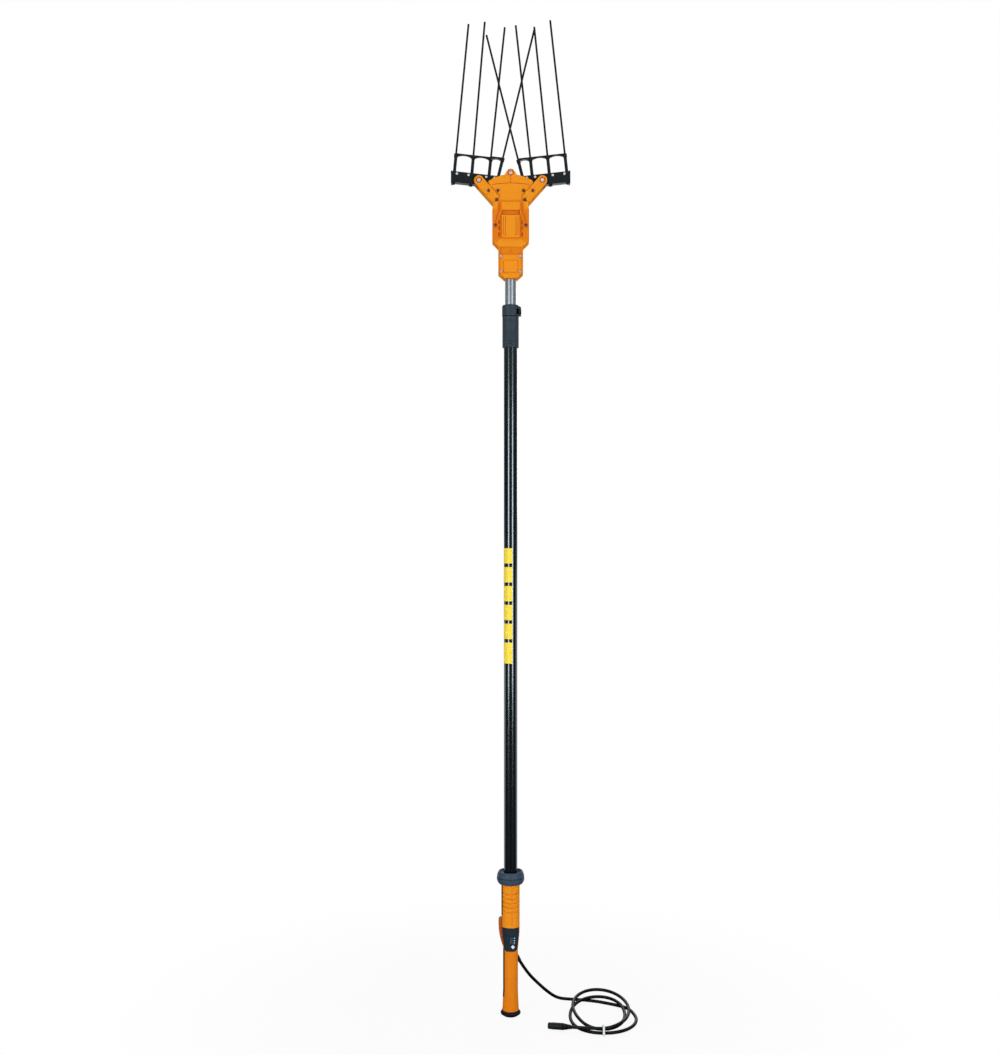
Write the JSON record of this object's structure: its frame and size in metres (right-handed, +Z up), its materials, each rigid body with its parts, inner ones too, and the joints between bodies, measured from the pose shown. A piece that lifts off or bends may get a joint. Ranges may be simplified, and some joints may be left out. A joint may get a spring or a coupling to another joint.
{
  "type": "olive harvester",
  "caption": "Telescopic pole tool with a grip, trigger and supply lead at the bottom and a motor head at the top whose two tined rakes swing apart and together to comb olives off branches.",
  "frame": {"origin": "on the pole axis, in the upper hand grip next to the trigger", "axes": "+Z up the pole to the rakes, -Y out of the control panel, +X to the right seen from the front"},
  "size_m": [0.4655, 0.2623, 2.4865],
  "materials": {
    "orange_plastic": "satin moulded",
    "dark_plastic": "satin moulded",
    "black_plastic": "satin moulded",
    "panel_plastic": "gloss moulded",
    "button_white": "gloss",
    "light_lens": "clear lens",
    "board_green": "lacquered",
    "tube_black": "gloss black",
    "tube_silver": "bright drawn",
    "bright_steel": "bright",
    "cast_alloy": "as cast",
    "motor_steel": "plated",
    "bearing_bronze": "turned",
    "carbon_rod": "gloss wound rod",
    "lead_rubber": "satin",
    "tie_white": "satin"
  },
  "bodies": {
    "pole": {"handle_front_shell": "orange_plastic", "handle_rear_shell": "orange_plastic", "handle_screws": "bright_steel", "grip_inlay": "black_plastic", "control_panel": "panel_plastic", "status_lights": "light_lens", "circuit_board": "board_green", "trigger_switch": "black_plastic", "trigger_pin": "bright_steel", "butt_cap": "dark_plastic", "hand_guard": "dark_plastic", "outer_tube": "tube_black", "guide_bush": "black_plastic", "cable_grommet": "black_plastic", "pole_cable": "lead_rubber", "clamp_sleeve": "dark_plastic", "clamp_collar": "dark_plastic", "clamp_lever_pin": "bright_steel", "cord_gland": "black_plastic", "lead_free": "lead_rubber", "lead_coil": "lead_rubber", "cord_tie": "tie_white", "plug_boot": "lead_rubber", "plug": "black_plastic", "plug_contacts": "bearing_bronze"},
    "trigger": {"trigger": "orange_plastic"},
    "power_button": {"power_button": "button_white"},
    "clamp_lever": {"clamp_lever": "black_plastic"},
    "head": {"inner_tube": "tube_silver", "slider_bush": "black_plastic", "head_front_cover": "orange_plastic", "head_rear_cover": "orange_plastic", "motor_cover": "orange_plastic", "neck_cover": "orange_plastic", "casing_screws": "bright_steel", "pivot_bolts": "bright_steel", "crest_bolt": "bright_steel", "casing_nuts": "bright_steel", "crest_spacer": "bright_steel", "motor": "motor_steel", "gear_head": "motor_steel", "gearbox_frame": "cast_alloy", "crank_bearing": "bearing_bronze", "yoke_guides": "black_plastic"},
    "yoke": {"yoke": "bright_steel"},
    "crank": {"crank": "bright_steel", "bevel_gear": "bright_steel"},
    "pinion": {"motor_pinion": "bright_steel"},
    "left_rake": {"left_rake_bar": "black_plastic", "left_tine_guard": "black_plastic", "left_tines": "carbon_rod", "left_bar_screws": "bright_steel", "left_rake_bush": "bearing_bronze", "left_drive_pin": "bright_steel"},
    "right_rake": {"right_rake_bar": "black_plastic", "right_tine_guard": "black_plastic", "right_tines": "carbon_rod", "right_bar_screws": "bright_steel", "right_rake_bush": "bearing_bronze", "right_drive_pin": "bright_steel"}
  },
  "joints": [
    {"name": "pole_extend", "type": "slide", "parent": "pole", "child": "head", "axis": [0, 0, 1], "range_m": [0, 0.8], "deforming": ["pole_cable"]},
    {"name": "clamp_lever_swing", "type": "hinge", "parent": "pole", "child": "clamp_lever", "pos_m": [0.0209, 0, 1.4715], "axis": [0, 0, -1], "range_deg": [0, 105]},
    {"name": "trigger_squeeze", "type": "hinge", "parent": "pole", "child": "trigger", "pos_m": [-0.0145, 0, -0.108], "axis": [0, 1, 0], "range_deg": [0, 6], "stiffness_Nm_per_rad": 1.5, "springref_deg": -4.58},
    {"name": "power_button_press", "type": "slide", "parent": "pole", "child": "power_button", "axis": [0, 1, 0], "range_m": [0, 0.0012], "stiffness_N_per_m": 400, "springref_m": -0.0005},
    {"name": "left_rake_swing", "type": "hinge", "parent": "head", "child": "left_rake", "pos_m": [-0.0789, 0, 1.7955], "axis": [0, -1, 0], "range_deg": [0, 15]},
    {"name": "right_rake_swing", "type": "hinge", "parent": "head", "child": "right_rake", "pos_m": [0.0789, 0, 1.7955], "axis": [0, 1, 0], "range_deg": [0, 15]},
    {"name": "yoke_slide", "type": "slide", "parent": "head", "child": "yoke", "axis": [0, 0, 1], "range_m": [0, 0.0158]},
    {"name": "crank_spin", "type": "hinge", "parent": "head", "child": "crank", "pos_m": [0, 0, 1.758], "axis": [0, 1, 0], "continuous": true},
    {"name": "motor_spin", "type": "hinge", "parent": "head", "child": "pinion", "pos_m": [0, 0, 1.758], "axis": [0, 0, 1], "continuous": true}
  ],
  "couplings": [
    {"joint": "right_rake_swing", "follows": "left_rake_swing", "ratio": 1},
    {"joint": "yoke_slide", "follows": "left_rake_swing", "m_per_rad": 0.0599},
    {"joint": "motor_spin", "follows": "crank_spin", "ratio": -2}
  ]
}
